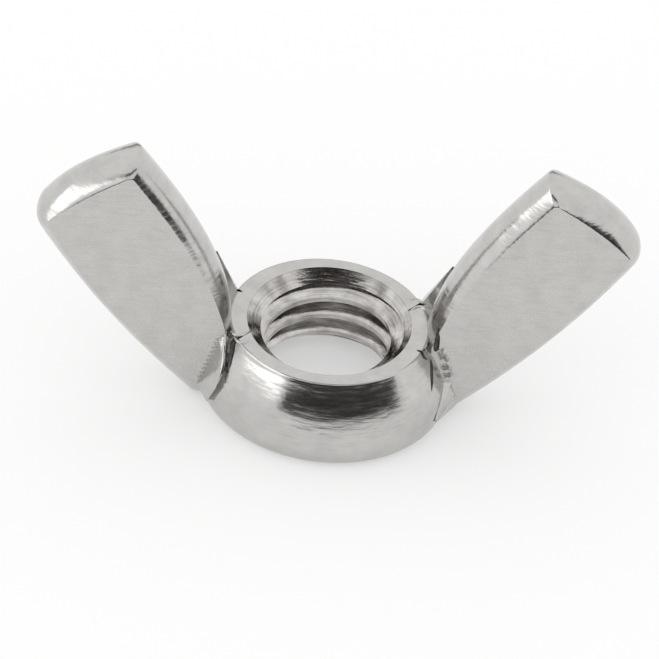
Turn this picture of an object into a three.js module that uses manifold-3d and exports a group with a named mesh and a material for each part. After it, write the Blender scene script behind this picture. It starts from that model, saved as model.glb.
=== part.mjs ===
// Cold-forged stainless steel wing nut, M12 coarse thread, square-ended wings.
// Millimetres, +Z up, +X along the wings. The origin is on the thread's axis, on the bearing face.
import * as THREE from 'three';
import { mergeVertices } from 'three/addons/utils/BufferGeometryUtils.js';
import { ConvexGeometry } from 'three/addons/geometries/ConvexGeometry.js';
import Module from 'manifold-3d';

// Thread: ISO metric coarse M12.
const THREAD_MAJOR_RADIUS = 6.0;
const THREAD_MINOR_RADIUS = 5.053;
const THREAD_PITCH = 1.75;
const THREAD_ROOT_FLAT = THREAD_PITCH / 8;
const THREAD_FLANK_ANGLE = Math.PI / 6;
const THREAD_OVERCUT = 0.1;

// Hub: a ring that swells below its narrow flat top.
const HUB_HEIGHT = 7.2;
const HUB_TOP_RADIUS = 7.5;
const HUB_SHOULDER_ROUND = 0.35;
const HUB_WIDEST_RADIUS = 9.65;
const HUB_WIDEST_HEIGHT = 1.6;
const HUB_BASE_RADIUS = 8.4;
const HUB_BULGE_INSET = 0.4;
const HUB_BULGE_HEIGHT = 4.46;
const HUB_STRETCH = 1.05;
const HUB_STRETCH_TURN = -Math.PI / 9;
const BORE_MOUTH_RADIUS = 6.6;
const BORE_LIP = 0.2;

// Wings: slabs with two flat faces and crowned edges, leaning outward. Each outline is drawn in
// the plane of the wings: the border of the flat faces, and the crest of the crown round them.
const WING_THICKNESS = 4.4;
const CROWN_HALF_ANGLE = Math.PI / 3;
const FACE_BORDER = {
  foot: [9.3, 0.9],
  outerBow: [17.6, 7.2],
  outerEnd: [23.12, 17.15],
  corner: [23.28, 17.4],
  tipStart: [23.06, 17.58],
  tipBow: [20.5, 20.3],
  tipEnd: [16.84, 22.52],
  innerBows: [[13.4, 17.9], [9.9, 12.9]],
  root: [8.2, 7.0],
  heel: [8.0, 2.0],
};
const CROWN_CREST = {
  foot: [10.9, 0.0],
  outerBow: [18.0, 6.9],
  outerEnd: [23.75, 15.8],
  corner: [24.35, 16.8],
  tipStart: [23.8, 17.9],
  tipBow: [21.8, 21.8],
  tipEnd: [16.28, 23.76],
  innerBows: [[12.9, 19.5], [8.2, 13.0]],
  root: [7.8, 7.0],
  heel: [7.8, 2.0],
};

// The web behind each wing, which fills the angle between the wing and the ring: its corners.
const WEB_CORNERS = [
  [9.4, 1.0, 12.9], [10.7, 2.15, 10.6], [7.5, 3.65, 7.2], [8.1, 0.95, 7.2],
  [9.5, 3.7, 4.5], [10.9, 2.15, 5.5], [8.0, 0.5, 4.5], [6.9, 3.2, 6.0],
];

// Folds left by the forging dies, where the front and back halves of the ring lap the wing roots.
// Each path starts in the bore's mouth and runs out and down; a half turn gives the other one.
const FOLD_RADIUS = 0.3;
const LAP_PATH = [
  [-6.2, -1.8, 7.3], [-7.2, -2.7, 7.2], [-7.8, -3.1, 6.5], [-7.95, -4.1, 5.4], [-8.6, -4.9, 3.4],
];
const SEAM_PATH = [[8.5, -2.2, 8.2], [8.6, -2.5, 6.9], [8.5, -3.2, 5.6], [8.5, -4.2, 4.4]];

// Tessellation.
const TURN_SEGMENTS = 40;
const PROFILE_SEGMENTS = 8;
const CROWN_SEGMENTS = 12;
const CURVE_SEGMENTS = 14;
const FOLD_STEPS = 16;
const FOLD_SIDES = 10;
const CUT_MARGIN = 1;
const WELD_DISTANCE = 1e-4;
const SPACE_BELOW = 100;

const wasm = await Module();
wasm.setup();

function toSolid(geometry) {
  geometry.deleteAttribute('normal');
  geometry.deleteAttribute('uv');
  const merged = mergeVertices(geometry, WELD_DISTANCE);
  return new wasm.Manifold(new wasm.Mesh({
    numProp: 3,
    vertProperties: new Float32Array(merged.attributes.position.array),
    triVerts: new Uint32Array(merged.index.array),
  }));
}

function toGeometry(solid) {
  const mesh = solid.getMesh();
  const geometry = new THREE.BufferGeometry();
  geometry.setAttribute('position', new THREE.BufferAttribute(mesh.vertProperties, 3));
  geometry.setIndex(new THREE.BufferAttribute(mesh.triVerts, 1));
  geometry.computeVertexNormals();
  return geometry;
}

// Turns a profile of (radius, height) points, from the axis back to the axis, round Z.
function turned(points) {
  const geometry = new THREE.LatheGeometry(points, TURN_SEGMENTS);
  geometry.rotateX(Math.PI / 2);
  return geometry;
}

function hubSolid() {
  const profile = new THREE.Path();
  profile.moveTo(0, 0);
  profile.lineTo(HUB_BASE_RADIUS, 0);
  profile.quadraticCurveTo(HUB_WIDEST_RADIUS, 0, HUB_WIDEST_RADIUS, HUB_WIDEST_HEIGHT);
  profile.quadraticCurveTo(
    HUB_WIDEST_RADIUS - HUB_BULGE_INSET, HUB_BULGE_HEIGHT,
    HUB_TOP_RADIUS + HUB_SHOULDER_ROUND, HUB_HEIGHT - HUB_SHOULDER_ROUND,
  );
  profile.quadraticCurveTo(
    HUB_TOP_RADIUS + HUB_SHOULDER_ROUND / 2, HUB_HEIGHT, HUB_TOP_RADIUS, HUB_HEIGHT,
  );
  profile.lineTo(0, HUB_HEIGHT);
  const geometry = turned(profile.getPoints(PROFILE_SEGMENTS));
  geometry.scale(HUB_STRETCH, 1, 1);
  geometry.rotateZ(HUB_STRETCH_TURN);
  return toSolid(geometry);
}

function wingOutline(points) {
  const outline = new THREE.Shape();
  outline.moveTo(...points.foot);
  outline.quadraticCurveTo(...points.outerBow, ...points.outerEnd);
  outline.quadraticCurveTo(...points.corner, ...points.tipStart);
  outline.quadraticCurveTo(...points.tipBow, ...points.tipEnd);
  outline.bezierCurveTo(...points.innerBows.flat(), ...points.root);
  outline.lineTo(...points.heel);
  outline.closePath();
  return outline;
}

// One wing, on the +X side: the face's border extruded through the thickness, then pushed out
// towards the crest along a circular arc, so that the edges are crowned.
function wingSolid() {
  const border = wingOutline(FACE_BORDER);
  const borderPoints = border.getPoints(CURVE_SEGMENTS);
  const crestPoints = wingOutline(CROWN_CREST).getPoints(CURVE_SEGMENTS);
  const geometry = new THREE.ExtrudeGeometry(border, {
    depth: 1,
    steps: CROWN_SEGMENTS,
    curveSegments: CURVE_SEGMENTS,
    bevelEnabled: false,
  });
  const position = geometry.attributes.position;
  const here = new THREE.Vector2();
  for (let i = 0; i < position.count; i += 1) {
    here.set(position.getX(i), position.getY(i));
    const distances = borderPoints.map((point) => point.distanceTo(here));
    const nearest = distances.indexOf(Math.min(...distances));
    const angle = (2 * position.getZ(i) - 1) * CROWN_HALF_ANGLE;
    const rise = (Math.cos(angle) - Math.cos(CROWN_HALF_ANGLE)) / (1 - Math.cos(CROWN_HALF_ANGLE));
    here.lerp(crestPoints[nearest], rise);
    const side = Math.sin(angle) / Math.sin(CROWN_HALF_ANGLE);
    position.setXYZ(i, here.x, -side * WING_THICKNESS / 2, here.y);
  }
  return toSolid(geometry);
}

// Bore with a lipped countersink at the top and a plain one at the bottom.
function boreCutter() {
  const lipRadius = BORE_MOUTH_RADIUS - BORE_LIP;
  const points = [
    new THREE.Vector2(0, -CUT_MARGIN),
    new THREE.Vector2(BORE_MOUTH_RADIUS + CUT_MARGIN, -CUT_MARGIN),
    new THREE.Vector2(THREAD_MINOR_RADIUS, BORE_MOUTH_RADIUS - THREAD_MINOR_RADIUS),
    new THREE.Vector2(THREAD_MINOR_RADIUS, HUB_HEIGHT - BORE_LIP - (lipRadius - THREAD_MINOR_RADIUS)),
    new THREE.Vector2(lipRadius, HUB_HEIGHT - BORE_LIP),
    new THREE.Vector2(BORE_MOUTH_RADIUS, HUB_HEIGHT),
    new THREE.Vector2(BORE_MOUTH_RADIUS, HUB_HEIGHT + CUT_MARGIN),
    new THREE.Vector2(0, HUB_HEIGHT + CUT_MARGIN),
  ];
  return toSolid(turned(points));
}

// The thread's groove: a straight bar of trapezoid section, bent into a helix.
function threadCutter() {
  const rootHalf = THREAD_ROOT_FLAT / 2;
  const inside = THREAD_MINOR_RADIUS - THREAD_OVERCUT;
  const mouthHalf = rootHalf + (THREAD_MAJOR_RADIUS - inside) * Math.tan(THREAD_FLANK_ANGLE);
  const section = new THREE.Shape([
    new THREE.Vector2(inside, -mouthHalf),
    new THREE.Vector2(THREAD_MAJOR_RADIUS, -rootHalf),
    new THREE.Vector2(THREAD_MAJOR_RADIUS, rootHalf),
    new THREE.Vector2(inside, mouthHalf),
  ]);
  const turns = Math.ceil((HUB_HEIGHT + 2 * CUT_MARGIN) / THREAD_PITCH);
  const bar = new THREE.ExtrudeGeometry(section, {
    depth: turns,
    steps: turns * TURN_SEGMENTS,
    bevelEnabled: false,
  });
  const position = bar.attributes.position;
  for (let i = 0; i < position.count; i += 1) {
    const radius = position.getX(i);
    const turn = position.getZ(i);
    const angle = -turn * 2 * Math.PI;
    const height = HUB_HEIGHT + CUT_MARGIN + position.getY(i) - turn * THREAD_PITCH;
    position.setXYZ(i, radius * Math.cos(angle), radius * Math.sin(angle), height);
  }
  return toSolid(bar);
}

// A round-bottomed groove along a path that lies on the surface.
function foldCutter(path) {
  const curve = new THREE.CatmullRomCurve3(path.map((point) => new THREE.Vector3(...point)));
  const section = new THREE.Shape();
  section.absarc(0, 0, FOLD_RADIUS, 0, 2 * Math.PI);
  const tube = new THREE.ExtrudeGeometry(section, {
    extrudePath: curve,
    steps: FOLD_STEPS,
    curveSegments: FOLD_SIDES,
  });
  return toSolid(tube);
}

// The web behind the +X wing: a convex body through its corners.
function webSolid() {
  return toSolid(new ConvexGeometry(WEB_CORNERS.map((corner) => new THREE.Vector3(...corner))));
}

// Everything below the bearing face.
function belowBearingFace() {
  const box = new THREE.BoxGeometry(SPACE_BELOW, SPACE_BELOW, SPACE_BELOW);
  box.translate(0, 0, -SPACE_BELOW / 2);
  return toSolid(box);
}

const HALF_TURN = [0, 0, 180];
const wing = wingSolid();
const web = webSolid();
const folds = foldCutter(LAP_PATH).add(foldCutter(SEAM_PATH));
const nut = hubSolid()
  .add(wing)
  .add(wing.rotate(HALF_TURN))
  .add(web)
  .add(web.mirror([1, 0, 0]))
  .subtract(folds)
  .subtract(folds.rotate(HALF_TURN))
  .subtract(belowBearingFace())
  .subtract(boreCutter())
  .subtract(threadCutter());

const steel = new THREE.MeshStandardMaterial({ color: 0xc4c3c0, roughness: 0.28, metalness: 1.0 });
const wingNut = new THREE.Mesh(toGeometry(nut), steel);
wingNut.name = 'wing_nut';

const group = new THREE.Group();
group.add(wingNut);
export default group;
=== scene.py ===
import math

import bmesh
import bpy
from mathutils import Matrix, Vector, geometry


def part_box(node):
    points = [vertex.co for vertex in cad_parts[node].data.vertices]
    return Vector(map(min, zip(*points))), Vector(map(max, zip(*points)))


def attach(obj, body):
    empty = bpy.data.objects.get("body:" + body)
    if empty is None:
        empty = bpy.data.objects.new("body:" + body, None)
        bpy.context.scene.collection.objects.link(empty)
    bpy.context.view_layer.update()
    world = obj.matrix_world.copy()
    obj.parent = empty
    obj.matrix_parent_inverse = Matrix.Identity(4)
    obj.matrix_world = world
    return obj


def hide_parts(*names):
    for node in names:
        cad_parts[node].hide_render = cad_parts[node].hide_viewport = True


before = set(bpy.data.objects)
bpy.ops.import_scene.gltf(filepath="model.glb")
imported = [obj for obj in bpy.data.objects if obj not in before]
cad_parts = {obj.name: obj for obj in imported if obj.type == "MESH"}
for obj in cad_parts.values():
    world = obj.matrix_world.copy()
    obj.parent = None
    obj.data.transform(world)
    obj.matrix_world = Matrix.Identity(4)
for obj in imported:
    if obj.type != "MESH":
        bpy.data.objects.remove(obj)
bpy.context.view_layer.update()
nutLow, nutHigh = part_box("wing_nut")
mm = nutHigh.z / 23.76  # one millimetre of the nut, from its overall height
print("frame loaded, nut box", tuple(round(c, 4) for c in nutLow), tuple(round(c, 4) for c in nutHigh))


# ---- small helpers

def linkObject(name, mesh):
    made = bpy.data.objects.new(name, mesh)
    bpy.context.scene.collection.objects.link(made)
    return made


def bezierPoints(start, handles, end, count):
    # two handles make a cubic, one makes a quadratic
    start, end = Vector(start), Vector(end)
    handles = [Vector(h) for h in handles]
    if len(handles) == 1:
        handles = [start.lerp(handles[0], 2 / 3), end.lerp(handles[0], 2 / 3)]
    flat = geometry.interpolate_bezier(start, handles[0], handles[1], end, count + 1)
    return [p.copy() for p in flat[:-1]]


def applyBoolean(target, cutter, operation):
    step = target.modifiers.new(operation.lower(), "BOOLEAN")
    step.operation = operation
    step.solver = "MANIFOLD"
    step.object = cutter
    step.material_mode = "TRANSFER"
    bpy.context.view_layer.update()
    graph = bpy.context.evaluated_depsgraph_get()
    result = bpy.data.meshes.new_from_object(target.evaluated_get(graph))
    target.modifiers.clear()
    old = target.data
    target.data = result
    bpy.data.meshes.remove(old)
    bpy.data.objects.remove(cutter)


# ---- materials

finishes = {
    "tumbledSteel": {   # hub and crowned edges, bright from tumbling
        "colour": (0.57, 0.565, 0.55), "dull": (0.47, 0.46, 0.45), "roughness": (0.12, 0.27),
        "grain": 0.28, "wave": 0.36, "rings": 0.0, "tear": 0.8,
    },
    "wingFaceSteel": {  # flat wing faces, satin
        "colour": (0.575, 0.57, 0.555), "dull": (0.50, 0.49, 0.475), "roughness": (0.22, 0.36),
        "grain": 0.35, "wave": 0.25, "rings": 0.0, "tear": 1.0,
    },
    "tappedSteel": {    # bore and thread, cut and left a little brown
        "colour": (0.66, 0.65, 0.635), "dull": (0.20, 0.175, 0.155), "roughness": (0.08, 0.18),
        "grain": 0.25, "wave": 0.3, "rings": 0.5, "tear": 0.0,
    },
    "foldShadeSteel": {      # inside the forging folds: near-black, painted shade in the creases with some oxide
        "colour": (0.13, 0.12, 0.11), "dull": (0.03, 0.025, 0.022), "roughness": (0.35, 0.6),
        "grain": 0.6, "wave": 0.4, "rings": 0.0, "tear": 0.0,
    },
}


def newGroup(name, inputs, outputs):
    tree = bpy.data.node_groups.new(name, "ShaderNodeTree")
    for label, kind in inputs:
        tree.interface.new_socket(label, in_out="INPUT", socket_type=kind)
    for label in outputs:
        tree.interface.new_socket(label, in_out="OUTPUT", socket_type="NodeSocketFloat")
    return tree, tree.nodes.new("NodeGroupInput"), tree.nodes.new("NodeGroupOutput")


def addMath(tree, operation, *values):
    node = tree.nodes.new("ShaderNodeMath")
    node.operation = operation
    for socket, value in zip(node.inputs, values):
        if isinstance(value, (int, float)):
            socket.default_value = value
        else:
            tree.links.new(value, socket)
    return node.outputs[0]


def addNoise(tree, vector, scale, detail, stretch=(1, 1, 1)):
    squeeze = tree.nodes.new("ShaderNodeVectorMath")
    squeeze.operation = "MULTIPLY"
    squeeze.inputs[1].default_value = stretch
    noise = tree.nodes.new("ShaderNodeTexNoise")
    noise.inputs["Scale"].default_value = scale
    noise.inputs["Detail"].default_value = detail
    tree.links.new(vector, squeeze.inputs[0])
    tree.links.new(squeeze.outputs[0], noise.inputs["Vector"])
    return noise.outputs["Fac"]


def addRange(tree, value, low, high, toLow=0.0, toHigh=1.0):
    node = tree.nodes.new("ShaderNodeMapRange")
    node.inputs["From Min"].default_value, node.inputs["From Max"].default_value = low, high
    node.inputs["To Min"].default_value, node.inputs["To Max"].default_value = toLow, toHigh
    tree.links.new(value, node.inputs["Value"])
    return node.outputs["Result"]


def steelGrainGroup():
    # fine pits, soft unevenness, drawn streaks and lathe rings, all from object coordinates
    tree, given, result = newGroup(
        "steelGrain", [("Vector", "NodeSocketVector")], ["Grain", "Mottle", "Wave", "Streak", "Ring"])
    link, vector = tree.links.new, given.outputs["Vector"]
    link(addNoise(tree, vector, 5200, 3.0), result.inputs["Grain"])
    link(addRange(tree, addNoise(tree, vector, 700, 5.0), 0.35, 0.7), result.inputs["Mottle"])
    link(addNoise(tree, vector, 420, 2.0, (0.7, 1.0, 1.6)), result.inputs["Wave"])
    link(addRange(tree, addNoise(tree, vector, 1500, 4.0, (0.35, 0.6, 2.4)), 0.45, 0.75), result.inputs["Streak"])
    apart = tree.nodes.new("ShaderNodeSeparateXYZ")
    link(vector, apart.inputs[0])
    squares = [addMath(tree, "MULTIPLY", apart.outputs[k], apart.outputs[k]) for k in ("X", "Y")]
    radius = addMath(tree, "SQRT", addMath(tree, "ADD", *squares))
    around = tree.nodes.new("ShaderNodeCombineXYZ")
    link(radius, around.inputs["X"])
    link(apart.outputs["Z"], around.inputs["Z"])
    link(addNoise(tree, around.outputs[0], 6500, 4.0), result.inputs["Ring"])
    return tree


def rootWearGroup():
    # torn metal beside one root and a row of die marks beside the other, alike after a half turn
    tree, given, result = newGroup("rootWear", [("Vector", "NodeSocketVector")], ["Tear", "Marks"])
    link = tree.links.new
    apart = tree.nodes.new("ShaderNodeSeparateXYZ")
    link(given.outputs["Vector"], apart.inputs[0])
    side = addMath(tree, "SIGN", addMath(tree, "MULTIPLY", apart.outputs["Y"], -1.0))
    x = addMath(tree, "DIVIDE", addMath(tree, "MULTIPLY", apart.outputs["X"], side), mm)
    y = addMath(tree, "DIVIDE", addMath(tree, "MULTIPLY", apart.outputs["Y"], side), mm)
    z = addMath(tree, "DIVIDE", apart.outputs["Z"], mm)

    def band(xTop, lean, reach, low, high, top):
        # 1 along a leaning line x = xTop + lean * (top - z), fading sideways and at both ends
        line = addMath(tree, "ADD", addMath(tree, "MULTIPLY", addMath(tree, "SUBTRACT", top, z), lean), xTop)
        off = addMath(tree, "ABSOLUTE", addMath(tree, "SUBTRACT", x, line))
        near = addRange(tree, off, reach, reach * 0.25)
        ends = addMath(tree, "MULTIPLY", addRange(tree, z, low - 0.5, low + 0.2), addRange(tree, z, high + 0.4, high))
        front = addRange(tree, y, -3.0, -2.4)
        return addMath(tree, "MULTIPLY", addMath(tree, "MULTIPLY", near, ends), front)

    ragged = addRange(tree, addNoise(tree, given.outputs["Vector"], 1900, 5.0), 0.46, 0.60)
    link(addMath(tree, "MULTIPLY", band(8.8, 0.28, 0.62, 3.9, 7.0, 7.3), ragged), result.inputs["Tear"])
    teeth = addRange(tree, addMath(tree, "SINE", addMath(tree, "MULTIPLY", z, 14.0)), -0.2, 0.6)
    link(addMath(tree, "MULTIPLY", band(-8.8, -0.29, 0.22, 2.0, 6.3, 6.3), teeth), result.inputs["Marks"])
    return tree


steelGrain, rootWear = steelGrainGroup(), rootWearGroup()


def steelMaterial(name):
    look = finishes[name]
    material = bpy.data.materials.new(name)
    material.use_nodes = True
    tree = material.node_tree
    new, link = tree.nodes.new, tree.links.new
    shader = tree.nodes["Principled BSDF"]
    shader.inputs["Metallic"].default_value = 1.0
    place = new("ShaderNodeTexCoord")
    grain, wear = new("ShaderNodeGroup"), new("ShaderNodeGroup")
    grain.node_tree, wear.node_tree = steelGrain, rootWear
    for node in (grain, wear):
        link(place.outputs["Object"], node.inputs["Vector"])
    tear = addMath(tree, "MULTIPLY", wear.outputs["Tear"], look["tear"])
    marks = addMath(tree, "MULTIPLY", wear.outputs["Marks"], look["tear"])

    # dull tone in the mottles, streaks and rings, darker still where the metal is torn
    dullness = addMath(tree, "MULTIPLY", grain.outputs["Mottle"], 0.55)
    dullness = addMath(tree, "ADD", dullness, addMath(tree, "MULTIPLY", grain.outputs["Streak"], 0.25))
    rings = addMath(tree, "MULTIPLY", addRange(tree, grain.outputs["Ring"], 0.5, 0.75), look["rings"])
    dullness = addMath(tree, "MINIMUM", addMath(tree, "ADD", dullness, rings), 1.0)
    tone = new("ShaderNodeMix")
    tone.data_type = "RGBA"
    tone.inputs["A"].default_value = (*look["colour"], 1)
    tone.inputs["B"].default_value = (*look["dull"], 1)
    link(dullness, tone.inputs["Factor"])
    torn = new("ShaderNodeMix")
    torn.data_type = "RGBA"
    torn.inputs["B"].default_value = (0.16, 0.15, 0.14, 1)
    link(tone.outputs["Result"], torn.inputs["A"])
    link(addMath(tree, "MULTIPLY", tear, 0.75), torn.inputs["Factor"])
    link(torn.outputs["Result"], shader.inputs["Base Color"])

    smooth, rough = look["roughness"]
    mixed = addMath(tree, "ADD", addMath(tree, "MULTIPLY", grain.outputs["Grain"], 0.6),
                    addMath(tree, "MULTIPLY", grain.outputs["Streak"], 0.5))
    link(addRange(tree, mixed, 0.1, 0.8, smooth, rough), shader.inputs["Roughness"])

    # heights in thousandths of a millimetre or so
    height = addMath(tree, "MULTIPLY", grain.outputs["Grain"], look["grain"] * 0.012)
    for output, amount in (("Wave", look["wave"] * 0.14), ("Streak", look["wave"] * 0.016), ("Ring", look["rings"] * 0.012)):
        height = addMath(tree, "ADD", height, addMath(tree, "MULTIPLY", grain.outputs[output], amount))
    height = addMath(tree, "SUBTRACT", height, addMath(tree, "MULTIPLY", tear, 0.06))
    height = addMath(tree, "SUBTRACT", height, addMath(tree, "MULTIPLY", marks, 0.03))
    bump = new("ShaderNodeBump")
    bump.inputs["Strength"].default_value = 1.0
    bump.inputs["Distance"].default_value = mm
    link(height, bump.inputs["Height"])
    link(bump.outputs["Normal"], shader.inputs["Normal"])
    return material


edgePolish, facePolish, threadPolish, foldShadeSteel = (
    steelMaterial(name) for name in ("tumbledSteel", "wingFaceSteel", "tappedSteel", "foldShadeSteel")
)
print("steel materials made")


# ---- hub: a ring that swells below its narrow flat top

hub = {
    "height": 7.2 * mm,
    "topRadius": 7.5 * mm,
    "shoulderRound": 0.35 * mm,
    "widestRadius": 9.62 * mm,
    "widestHeight": 1.6 * mm,
    "baseRadius": 8.4 * mm,
    "stretch": 0.05,                  # longer than round by this much
    "stretchTurn": math.radians(-20),
    "segments": 240,
}


def hubProfile():
    h = hub
    top, base = (h["topRadius"], h["height"]), (h["baseRadius"], 0)
    shoulder = (h["topRadius"] + 0.8 * h["shoulderRound"], h["height"] - h["shoulderRound"])
    widest = (h["widestRadius"], h["widestHeight"])
    points = bezierPoints(base, [(h["widestRadius"], 0)], widest, 16)
    points += bezierPoints(widest, [(h["widestRadius"] - 0.4 * mm, 0.62 * h["height"])], shoulder, 28)
    points += bezierPoints(shoulder, [(h["topRadius"] + 0.5 * h["shoulderRound"], h["height"])], top, 8)
    return points + [Vector(top)]


def makeHub():
    profile = hubProfile()
    bm = bmesh.new()
    rings = []
    for k in range(hub["segments"]):
        angle = 2 * math.pi * k / hub["segments"]
        grow = 1 + hub["stretch"] * math.cos(angle - hub["stretchTurn"]) ** 2
        rings.append([
            bm.verts.new((p.x * math.cos(angle) * grow, p.x * math.sin(angle) * grow, p.y))
            for p in profile
        ])
    for k, ring in enumerate(rings):
        following = rings[(k + 1) % len(rings)]
        for a, b, c, d in zip(ring, following, following[1:], ring[1:]):
            bm.faces.new((a, b, c, d))
    bm.faces.new([ring[0] for ring in reversed(rings)])
    bm.faces.new([ring[-1] for ring in rings])
    mesh = bpy.data.meshes.new("hub")
    bm.to_mesh(mesh)
    bm.free()
    mesh.materials.append(edgePolish)
    return linkObject("hub", mesh)


# ---- wings: flat slabs with crowned edges, leaning outward

wing = {
    "thickness": 4.4 * mm,
    "crownHalfAngle": math.radians(60),
    "crownSteps": 24,
    "borderBevel": 0.10 * mm,
    "mitreBevel": 0.28 * mm,
    "tipPoint": 40 + 10 + 24,  # where the outline turns from the dome to the inner band
    "faceBorder": {
        "foot": (9.3, 0.9), "outerBow": (17.6, 7.2), "outerEnd": (23.12, 17.15),
        "corner": (23.28, 17.4), "tipStart": (23.06, 17.58), "tipBow": (20.5, 20.3),
        "tipEnd": (16.84, 22.52), "innerBows": [(13.4, 17.9), (9.9, 12.9)], "root": (8.2, 7.0), "heel": (8.0, 2.0),
    },
    "crownCrest": {
        "foot": (10.9, 0.0), "outerBow": (18.0, 6.9), "outerEnd": (23.75, 15.8),
        "corner": (24.35, 16.8), "tipStart": (23.8, 17.9), "tipBow": (21.8, 21.8),
        "tipEnd": (16.28, 23.76), "innerBows": [(12.9, 19.5), (8.2, 13.0)], "root": (7.8, 7.0), "heel": (7.8, 2.0),
    },
}


def wingOutline(marks):
    points = bezierPoints(marks["foot"], [marks["outerBow"]], marks["outerEnd"], 40)
    points += bezierPoints(marks["outerEnd"], [marks["corner"]], marks["tipStart"], 10)
    points += bezierPoints(marks["tipStart"], [marks["tipBow"]], marks["tipEnd"], 24)
    points += bezierPoints(marks["tipEnd"], marks["innerBows"], marks["root"], 40)
    points += [Vector(marks["root"]), Vector(marks["heel"])]
    return [p * mm for p in points]


def makeWing(name, turn):
    border, crest = wingOutline(wing["faceBorder"]), wingOutline(wing["crownCrest"])
    limit = wing["crownHalfAngle"]
    bm = bmesh.new()
    rings = []
    for k in range(wing["crownSteps"] + 1):
        angle = limit * (2 * k / wing["crownSteps"] - 1)
        rise = (math.cos(angle) - math.cos(limit)) / (1 - math.cos(limit))
        side = math.sin(angle) / math.sin(limit) * wing["thickness"] / 2
        ring = []
        for a, b in zip(border, crest):
            p = a.lerp(b, rise)
            ring.append(bm.verts.new((p.x, side, p.y)))
        rings.append(ring)
    for ring, following in zip(rings, rings[1:]):
        for i, vert in enumerate(ring):
            j = (i + 1) % len(ring)
            bm.faces.new((vert, following[i], following[j], ring[j]))
    front = bm.faces.new(rings[0])
    back = bm.faces.new(list(reversed(rings[-1])))
    for face in (front, back):
        face.material_index = 1
    # the mitre between dome and inner band is rounder than the other edges
    tip = wing["tipPoint"]
    mitre = [bm.edges.get((ring[tip], following[tip])) for ring, following in zip(rings, rings[1:])]
    bmesh.ops.bevel(
        bm, geom=mitre, offset=wing["mitreBevel"], offset_type="OFFSET", segments=4, profile=0.5,
        affect="EDGES", clamp_overlap=True, material=0,
    )
    crisp = [e for e in bm.edges if e.is_manifold and e.calc_face_angle() > math.radians(14)]
    bmesh.ops.bevel(
        bm, geom=crisp, offset=wing["borderBevel"], offset_type="OFFSET", segments=3, profile=0.5,
        affect="EDGES", clamp_overlap=True, material=0,
    )
    bmesh.ops.recalc_face_normals(bm, faces=bm.faces)
    bmesh.ops.rotate(bm, verts=bm.verts, cent=(0, 0, 0), matrix=Matrix.Rotation(turn, 3, "Z"))
    mesh = bpy.data.meshes.new(name)
    bm.to_mesh(mesh)
    bm.free()
    mesh.materials.append(edgePolish)
    mesh.materials.append(facePolish)
    return linkObject(name, mesh)


# ---- bore and thread

bore = {
    "majorRadius": 6.0 * mm,
    "minorRadius": 5.053 * mm,
    "pitch": 1.75 * mm,
    "mouthRadius": 6.6 * mm,
    "lip": 0.2 * mm,
    "segments": 144,
}


def makeBoreCutter():
    b = bore
    margin = 1 * mm
    top = hub["height"]
    lipRadius = b["mouthRadius"] - b["lip"]
    profile = [
        (0, -margin),
        (b["mouthRadius"] + margin, -margin),
        (b["minorRadius"], b["mouthRadius"] - b["minorRadius"]),
        (b["minorRadius"], top - b["lip"] - (lipRadius - b["minorRadius"])),
        (lipRadius, top - b["lip"]),
        (b["mouthRadius"], top),
        (b["mouthRadius"], top + margin),
        (0, top + margin),
    ]
    bm = bmesh.new()
    line = [bm.verts.new((r, 0, z)) for r, z in profile]
    edges = [bm.edges.new(pair) for pair in zip(line, line[1:])]
    bmesh.ops.spin(
        bm, geom=line + edges, axis=(0, 0, 1), cent=(0, 0, 0), angle=2 * math.pi,
        steps=b["segments"], use_merge=True, use_duplicate=False,
    )
    bmesh.ops.remove_doubles(bm, verts=bm.verts, dist=0.001 * mm)
    bmesh.ops.recalc_face_normals(bm, faces=bm.faces)
    mesh = bpy.data.meshes.new("boreCutter")
    bm.to_mesh(mesh)
    bm.free()
    mesh.materials.append(threadPolish)
    return linkObject("boreCutter", mesh)


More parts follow.
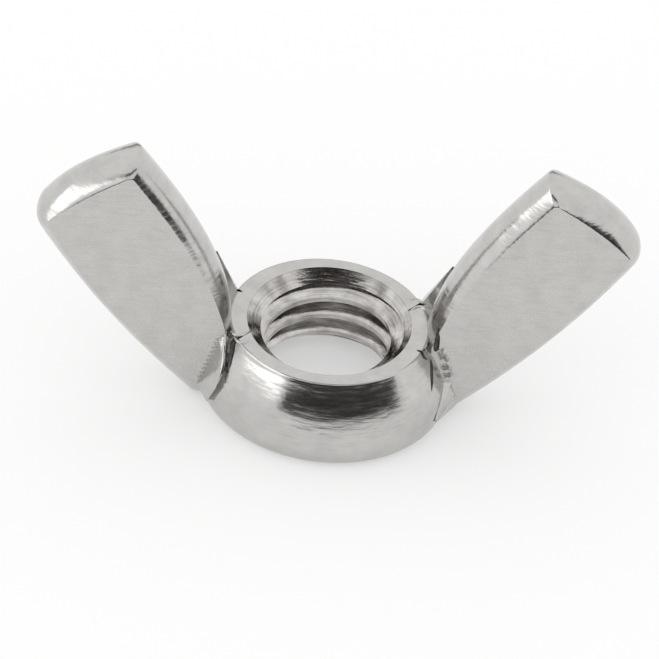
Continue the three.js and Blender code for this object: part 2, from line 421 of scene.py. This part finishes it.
def threadTree():
    tree = bpy.data.node_groups.new("threadGroove", "GeometryNodeTree")
    face = tree.interface
    face.new_socket("Geometry", in_out="INPUT", socket_type="NodeSocketGeometry")
    for label in ("Pitch", "Major Radius", "Minor Radius", "Turns", "Start Height"):
        face.new_socket(label, in_out="INPUT", socket_type="NodeSocketFloat")
    face.new_socket("Steps per Turn", in_out="INPUT", socket_type="NodeSocketInt")
    face.new_socket("Material", in_out="INPUT", socket_type="NodeSocketMaterial")
    face.new_socket("Geometry", in_out="OUTPUT", socket_type="NodeSocketGeometry")
    new, link = tree.nodes.new, tree.links.new
    given, result = new("NodeGroupInput"), new("NodeGroupOutput")

    def math2(operation, a, b):
        node = new("ShaderNodeMath")
        node.operation = operation
        for socket, value in zip(node.inputs, (a, b)):
            if isinstance(value, (int, float)):
                socket.default_value = value
            else:
                link(value, socket)
        return node.outputs[0]

    spiral = new("GeometryNodeCurveSpiral")
    link(given.outputs["Steps per Turn"], spiral.inputs["Resolution"])
    link(given.outputs["Turns"], spiral.inputs["Rotations"])
    middle = math2("MULTIPLY", math2("ADD", given.outputs["Major Radius"], given.outputs["Minor Radius"]), 0.5)
    link(middle, spiral.inputs["Start Radius"])
    link(middle, spiral.inputs["End Radius"])
    link(math2("MULTIPLY", given.outputs["Pitch"], given.outputs["Turns"]), spiral.inputs["Height"])

    upright = new("GeometryNodeSetCurveNormal")
    upright.mode = "Z_UP"
    link(spiral.outputs["Curve"], upright.inputs["Curve"])

    section = new("GeometryNodeCurvePrimitiveQuadrilateral")
    section.mode = "TRAPEZOID"
    depth = math2("SUBTRACT", given.outputs["Major Radius"], given.outputs["Minor Radius"])
    rootFlat = math2("DIVIDE", given.outputs["Pitch"], 8.0)
    mouth = math2("ADD", rootFlat, math2("MULTIPLY", depth, 2 * math.tan(math.radians(30))))
    link(depth, section.inputs["Height"])
    link(mouth, section.inputs["Bottom Width"])
    link(rootFlat, section.inputs["Top Width"])
    section.inputs["Offset"].default_value = 0.0

    turned = new("GeometryNodeTransform")
    turned.inputs["Rotation"].default_value = (0, 0, math.radians(90))  # narrow side outward
    link(section.outputs["Curve"], turned.inputs["Geometry"])

    sweep = new("GeometryNodeCurveToMesh")
    sweep.inputs["Fill Caps"].default_value = True
    link(upright.outputs["Curve"], sweep.inputs["Curve"])
    link(turned.outputs["Geometry"], sweep.inputs["Profile Curve"])

    lift = new("GeometryNodeTransform")
    place = new("ShaderNodeCombineXYZ")
    link(given.outputs["Start Height"], place.inputs["Z"])
    link(sweep.outputs["Mesh"], lift.inputs["Geometry"])
    link(place.outputs["Vector"], lift.inputs["Translation"])

    paint = new("GeometryNodeSetMaterial")
    real = new("GeometryNodeRealizeInstances")
    link(lift.outputs["Geometry"], real.inputs["Geometry"])
    link(real.outputs["Geometry"], paint.inputs["Geometry"])
    link(given.outputs["Material"], paint.inputs["Material"])
    link(paint.outputs["Geometry"], result.inputs["Geometry"])
    return tree


def makeThreadCutter():
    tree = threadTree()
    holder = linkObject("threadHolder", bpy.data.meshes.new("threadHolder"))
    turns = math.ceil((hub["height"] + 2 * mm) / bore["pitch"])
    mesh = treeResult(holder, tree, {
        "Pitch": bore["pitch"], "Major Radius": bore["majorRadius"], "Minor Radius": bore["minorRadius"] - 0.1 * mm,
        "Turns": float(turns), "Start Height": hub["height"] + 1 * mm - turns * bore["pitch"],
        "Steps per Turn": bore["segments"], "Material": threadPolish,
    })
    return linkObject("threadCutter", mesh)


# ---- wing roots: webs, flares and the folds that the forging dies leave

roots = {
    # corners of the web behind each wing, which fills the angle between wing and ring
    "web": [
        (9.4, 1.0, 12.9), (10.7, 2.15, 10.6), (7.5, 3.65, 7.2), (8.1, 0.95, 7.2),
        (9.5, 3.7, 4.5), (10.9, 2.15, 5.5), (8.0, 0.5, 4.5), (6.9, 3.2, 6.0),
    ],
    # the flare at the front of the left root, and the wedge low at the front of the right one
    "flare": [
        (-8.75, -2.15, 6.3), (-9.3, -2.15, 4.2), (-10.2, -2.15, 1.6), (-8.2, -2.25, 6.9), (-8.2, -3.9, 5.2),
        (-8.75, -4.65, 3.4), (-9.35, -4.2, 1.5), (-7.6, -2.0, 6.0), (-8.2, -2.0, 1.0),
    ],
    "wedge": [
        (10.05, -2.15, 3.4), (10.5, -2.15, 2.3), (10.7, -1.6, 0.7), (9.6, -2.7, 3.0), (9.2, -4.3, 2.0),
        (9.0, -4.9, 1.5), (8.2, -2.0, 3.6), (8.2, -2.0, 0.6), (9.3, -3.4, 0.4),
    ],
    # folds as (x, y, z, radius): grooves lined with painted shade, and bright rounded lips beside them
    "grooves": [
        [(-6.3, -1.9, 7.25, 0.10), (-6.9, -2.42, 7.22, 0.13), (-7.35, -2.78, 7.1, 0.22), (-7.75, -2.9, 6.75, 0.42),
         (-7.85, -3.4, 6.3, 0.40), (-7.95, -3.95, 5.75, 0.34), (-8.05, -4.3, 5.2, 0.28), (-8.3, -4.6, 4.5, 0.2),
         (-8.6, -4.85, 3.5, 0.08)],
        [(8.66, -2.0, 8.9, 0.08), (8.6, -2.2, 7.8, 0.2), (8.55, -2.4, 6.9, 0.3), (8.5, -2.75, 6.2, 0.34),
         (8.45, -3.3, 5.5, 0.3), (8.45, -3.85, 4.8, 0.22), (8.5, -4.3, 4.2, 0.08)],
        [(6.95, -2.85, 7.28, 0.06), (7.25, -3.0, 7.2, 0.14), (7.55, -3.15, 6.95, 0.2), (7.9, -3.1, 6.6, 0.18),
         (8.2, -2.9, 6.3, 0.1)],
    ],
    "lips": [
        [(-7.85, -1.95, 7.05, 0.1), (-7.6, -2.3, 7.14, 0.16), (-7.2, -2.5, 7.13, 0.16), (-6.75, -2.22, 7.14, 0.14),
         (-6.4, -1.85, 7.1, 0.08)],
        [(-8.3, -2.2, 7.0, 0.08), (-8.28, -2.9, 6.4, 0.16), (-8.3, -3.6, 5.6, 0.18), (-8.4, -4.2, 4.7, 0.16),
         (-8.65, -4.6, 3.8, 0.08)],
        [(6.3, 2.95, 7.1, 0.07), (6.55, 3.3, 7.13, 0.13), (6.9, 3.4, 7.13, 0.13), (7.3, 3.15, 7.13, 0.12),
         (7.6, 2.6, 7.1, 0.06)],
    ],
}


def makeWeb(name, corners, turn=0.0, mirror=False):
    bm = bmesh.new()
    for x, y, z in corners:
        bm.verts.new(Vector((-x if mirror else x, y, z)) * mm)
    bmesh.ops.convex_hull(bm, input=bm.verts)
    bmesh.ops.delete(bm, geom=[v for v in bm.verts if not v.link_faces], context="VERTS")
    bmesh.ops.rotate(bm, verts=bm.verts, cent=(0, 0, 0), matrix=Matrix.Rotation(turn, 3, "Z"))
    bmesh.ops.recalc_face_normals(bm, faces=bm.faces)
    mesh = bpy.data.meshes.new(name)
    bm.to_mesh(mesh)
    bm.free()
    mesh.materials.append(edgePolish)
    return linkObject(name, mesh)


def foldTree():
    tree = bpy.data.node_groups.new("foldSweep", "GeometryNodeTree")
    face = tree.interface
    face.new_socket("Geometry", in_out="INPUT", socket_type="NodeSocketGeometry")
    face.new_socket("Step", in_out="INPUT", socket_type="NodeSocketFloat")
    face.new_socket("Sides", in_out="INPUT", socket_type="NodeSocketInt")
    face.new_socket("Material", in_out="INPUT", socket_type="NodeSocketMaterial")
    face.new_socket("Geometry", in_out="OUTPUT", socket_type="NodeSocketGeometry")
    new, link = tree.nodes.new, tree.links.new
    given, result = new("NodeGroupInput"), new("NodeGroupOutput")
    even = new("GeometryNodeResampleCurve")
    even.mode = "LENGTH"
    section = new("GeometryNodeCurvePrimitiveCircle")
    section.inputs["Radius"].default_value = 1.0
    width = new("GeometryNodeInputRadius")  # the path's own radius scales the section
    sweep = new("GeometryNodeCurveToMesh")
    sweep.inputs["Fill Caps"].default_value = True
    real, paint = new("GeometryNodeRealizeInstances"), new("GeometryNodeSetMaterial")
    link(given.outputs["Geometry"], even.inputs["Curve"])
    link(given.outputs["Step"], even.inputs["Length"])
    link(given.outputs["Sides"], section.inputs["Resolution"])
    link(even.outputs["Curve"], sweep.inputs["Curve"])
    link(section.outputs["Curve"], sweep.inputs["Profile Curve"])
    link(width.outputs["Radius"], sweep.inputs["Scale"])
    link(sweep.outputs["Mesh"], real.inputs["Geometry"])
    link(real.outputs["Geometry"], paint.inputs["Geometry"])
    link(given.outputs["Material"], paint.inputs["Material"])
    link(paint.outputs["Geometry"], result.inputs["Geometry"])
    return tree


def treeResult(holder, tree, values):
    # runs a node tree on an object and gives back a closed plain mesh
    step = holder.modifiers.new(tree.name, "NODES")
    step.node_group = tree
    for socket in tree.interface.items_tree:
        if socket.in_out == "INPUT" and socket.name in values:
            step[socket.identifier] = values[socket.name]
    bpy.context.view_layer.update()
    graph = bpy.context.evaluated_depsgraph_get()
    mesh = bpy.data.meshes.new_from_object(holder.evaluated_get(graph))
    bpy.data.objects.remove(holder)
    bm = bmesh.new()
    bm.from_mesh(mesh)
    bmesh.ops.remove_doubles(bm, verts=bm.verts, dist=0.0005 * mm)
    bmesh.ops.recalc_face_normals(bm, faces=bm.faces)
    bm.to_mesh(mesh)
    bm.free()
    return mesh


def makeFold(name, path, tree, material, turn):
    curve = bpy.data.curves.new(name, "CURVE")
    curve.dimensions = "3D"
    curve.resolution_u = 8
    spline = curve.splines.new("BEZIER")
    spline.bezier_points.add(len(path) - 1)
    swing = Matrix.Rotation(turn, 3, "Z")
    for point, (x, y, z, radius) in zip(spline.bezier_points, path):
        point.co = swing @ Vector((x, y, z)) * mm
        point.radius = radius * mm
        point.handle_left_type = point.handle_right_type = "AUTO"
    holder = bpy.data.objects.new(name, curve)
    bpy.context.scene.collection.objects.link(holder)
    mesh = treeResult(holder, tree, {"Step": 0.08 * mm, "Sides": 14, "Material": material})
    return linkObject(name, mesh)


# ---- the nut

def makeNut():
    nut = makeHub()
    for turn in (0, math.pi):
        applyBoolean(nut, makeWing("wing", turn), "UNION")
    for mirror in (False, True):
        applyBoolean(nut, makeWeb("web", roots["web"], mirror=mirror), "UNION")
    sweep = foldTree()
    for turn in (0, math.pi):
        applyBoolean(nut, makeWeb("flare", roots["flare"], turn), "UNION")
        applyBoolean(nut, makeWeb("wedge", roots["wedge"], turn), "UNION")
        for path in roots["grooves"]:
            # the groove walls take the near-black fold steel: painted shade in the creases, with some oxide
            applyBoolean(nut, makeFold("groove", path, sweep, foldShadeSteel, turn), "DIFFERENCE")
    print("wings, webs and folds joined to the hub,", len(nut.data.polygons), "faces")
    applyBoolean(nut, makeBoreCutter(), "DIFFERENCE")
    applyBoolean(nut, makeThreadCutter(), "DIFFERENCE")
    print("bore cut and tapped,", len(nut.data.polygons), "faces")
    nut.name = nut.data.name = "forgedWingNut"
    bm = bmesh.new()
    bm.from_mesh(nut.data)
    bmesh.ops.remove_doubles(bm, verts=bm.verts, dist=0.002 * mm)
    for turn in (0, math.pi):
        for path in roots["lips"]:  # the lips sit half sunk in the hub
            lip = makeFold("lip", path, sweep, edgePolish, turn)
            bm.from_mesh(lip.data)
            bpy.data.objects.remove(lip)
    for edge in bm.edges:
        edge.smooth = not edge.is_manifold or edge.calc_face_angle() < math.radians(28)
    for face in bm.faces:
        face.smooth = True
    bm.to_mesh(nut.data)
    bm.free()
    flat = nut.modifiers.new("flatFaces", "WEIGHTED_NORMAL")
    flat.keep_sharp = True
    flat.weight = 50
    bpy.context.view_layer.update()
    graph = bpy.context.evaluated_depsgraph_get()
    result = bpy.data.meshes.new_from_object(nut.evaluated_get(graph))
    nut.modifiers.clear()
    nut.data = result
    return nut


nut = makeNut()
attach(nut, "root")
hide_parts("wing_nut")
print("nut finished,", len(nut.data.polygons), "faces, materials", [m.name for m in nut.data.materials])


# ---- floor, light and camera

studio = {
    "floorSize": 3.0,
    "floorColour": (0.60, 0.60, 0.60, 1.0),
    "floorGlow": 0.38,
    "roomColour": (1.0, 0.995, 0.99, 1.0),
    "roomStrength": 1.0,
    "flagColour": (0.020, 0.016, 0.014, 1.0),
    "backFlagColour": (0.30, 0.30, 0.31, 1.0),
    "flagFacing": 13,      # degrees round from the front, positive to the right
    "flagDistance": 0.060,
    "flagWidth": 0.155,
    "flagHeight": 0.034,
    "cameraFlagRise": 50,
    "boxFacing": -68,
    "boxRise": 16,
    "boxDistance": 1.2,
    "boxWidth": 1.05,
    "boxHeight": 0.36,
    "boxRadiance": 1.3,
    "azimuth": math.radians(-3.2),
    "elevation": math.radians(40.4),
    "roll": math.radians(5.8),
    "lens": 1200,
    "frameWidth": 52.53 * mm,  # what the picture spans at the hub's top
}


def directionTo(facing, rise):
    # unit vector from the nut; facing 0 is the front, positive to the right
    f, r = math.radians(facing), math.radians(rise)
    return Vector((math.sin(f) * math.cos(r), -math.cos(f) * math.cos(r), math.sin(r)))


def plainMaterial(name, colour):
    material = bpy.data.materials.new(name)
    material.use_nodes = True
    shader = material.node_tree.nodes["Principled BSDF"]
    shader.inputs["Base Color"].default_value = colour
    shader.inputs["Roughness"].default_value = 0.9
    return material


def makeSheet(name, corners, material):
    bm = bmesh.new()
    bm.faces.new([bm.verts.new(c) for c in corners])
    mesh = bpy.data.meshes.new(name)
    bm.to_mesh(mesh)
    bm.free()
    mesh.materials.append(material)
    sheet = linkObject(name, mesh)
    return sheet


def makeStudio():
    s = studio
    size = s["floorSize"] / 2
    paper = plainMaterial("paleFloor", s["floorColour"])
    glow = paper.node_tree.nodes["Principled BSDF"]  # the sheet is lit a little from below
    glow.inputs["Emission Color"].default_value = (1, 1, 1, 1)
    glow.inputs["Emission Strength"].default_value = s["floorGlow"]
    makeSheet("floor", ((-size, -size, 0), (size, -size, 0), (size, size, 0), (-size, size, 0)), paper)

    # black flags: one low in front, which darkens the hub's front, one high beside the camera
    # for the bore, and one far behind; only the steel sees them
    black = plainMaterial("blackFlag", s["flagColour"])
    out = directionTo(s["flagFacing"], 0)
    across = Vector((-out.y, out.x, 0)) * s["flagWidth"] / 2
    foot = out * s["flagDistance"] + Vector((0, 0, 0.0005))
    top = Vector((0, 0, s["flagHeight"]))
    flags = [makeSheet("flagFront", (foot - across, foot + across, foot + across + top, foot - across + top), black)]
    centre = directionTo(0, s["cameraFlagRise"])
    tall = Vector((0, math.sin(math.radians(s["cameraFlagRise"])), math.cos(math.radians(s["cameraFlagRise"]))))
    wide, tall = Vector((0.85, 0, 0)), tall * 0.12
    flags.append(makeSheet("flagHigh", (centre - wide - tall, centre + wide - tall, centre + wide + tall,
                                        centre - wide + tall), black))
    flags.append(makeSheet("flagBack", ((-0.35, 0.95, 0.002), (0.35, 0.95, 0.002), (0.35, 0.95, 0.26),
                                        (-0.35, 0.95, 0.26)), plainMaterial("greyFlag", s["backFlagColour"])))
    for flag in flags:
        for ray in ("visible_camera", "visible_diffuse", "visible_shadow"):
            setattr(flag, ray, False)

    # low softbox on the left
    light = bpy.data.lights.new("softboxLeft", "AREA")
    light.shape = "RECTANGLE"
    light.size, light.size_y = s["boxWidth"], s["boxHeight"]
    light.energy = s["boxRadiance"] * math.pi * light.size * light.size_y
    lamp = bpy.data.objects.new("softboxLeft", light)
    bpy.context.scene.collection.objects.link(lamp)
    place = directionTo(s["boxFacing"], s["boxRise"])
    lamp.matrix_world = (
        Matrix.Translation(place * s["boxDistance"]) @ place.to_track_quat("Z", "Y").to_matrix().to_4x4()
    )

    world = bpy.data.worlds.new("softRoom")
    bpy.context.scene.world = world
    world.use_nodes = True
    backdrop = world.node_tree.nodes["Background"]
    backdrop.inputs["Color"].default_value = s["roomColour"]
    backdrop.inputs["Strength"].default_value = s["roomStrength"]
    world.cycles.sampling_method = "NONE"  # keeps the flags' reflections clean


def makeCamera():
    a, e, r = studio["azimuth"], studio["elevation"], studio["roll"]
    back = Vector((math.sin(a) * math.cos(e), -math.cos(a) * math.cos(e), math.sin(e)))
    level = Vector((math.cos(a), math.sin(a), 0))
    rise = back.cross(level)
    right = math.cos(r) * level + math.sin(r) * rise
    up = math.cos(r) * rise - math.sin(r) * level
    camera = bpy.data.cameras.new("camera")
    camera.sensor_width = 36
    camera.lens = studio["lens"]
    distance = studio["frameWidth"] * camera.lens / camera.sensor_width
    aim = Vector((0, 0, hub["height"])) - up * 0.685 * mm  # the bore's mouth sits a little above the middle
    holder = bpy.data.objects.new("camera", camera)
    bpy.context.scene.collection.objects.link(holder)
    turn = Matrix((right, up, back)).transposed().to_4x4()
    holder.matrix_world = Matrix.Translation(aim + back * distance) @ turn
    camera.clip_start, camera.clip_end = 0.01, 10
    bpy.context.scene.camera = holder


makeStudio()
makeCamera()
print("studio and camera set")

scene = bpy.context.scene
scene.view_settings.view_transform = "Standard"
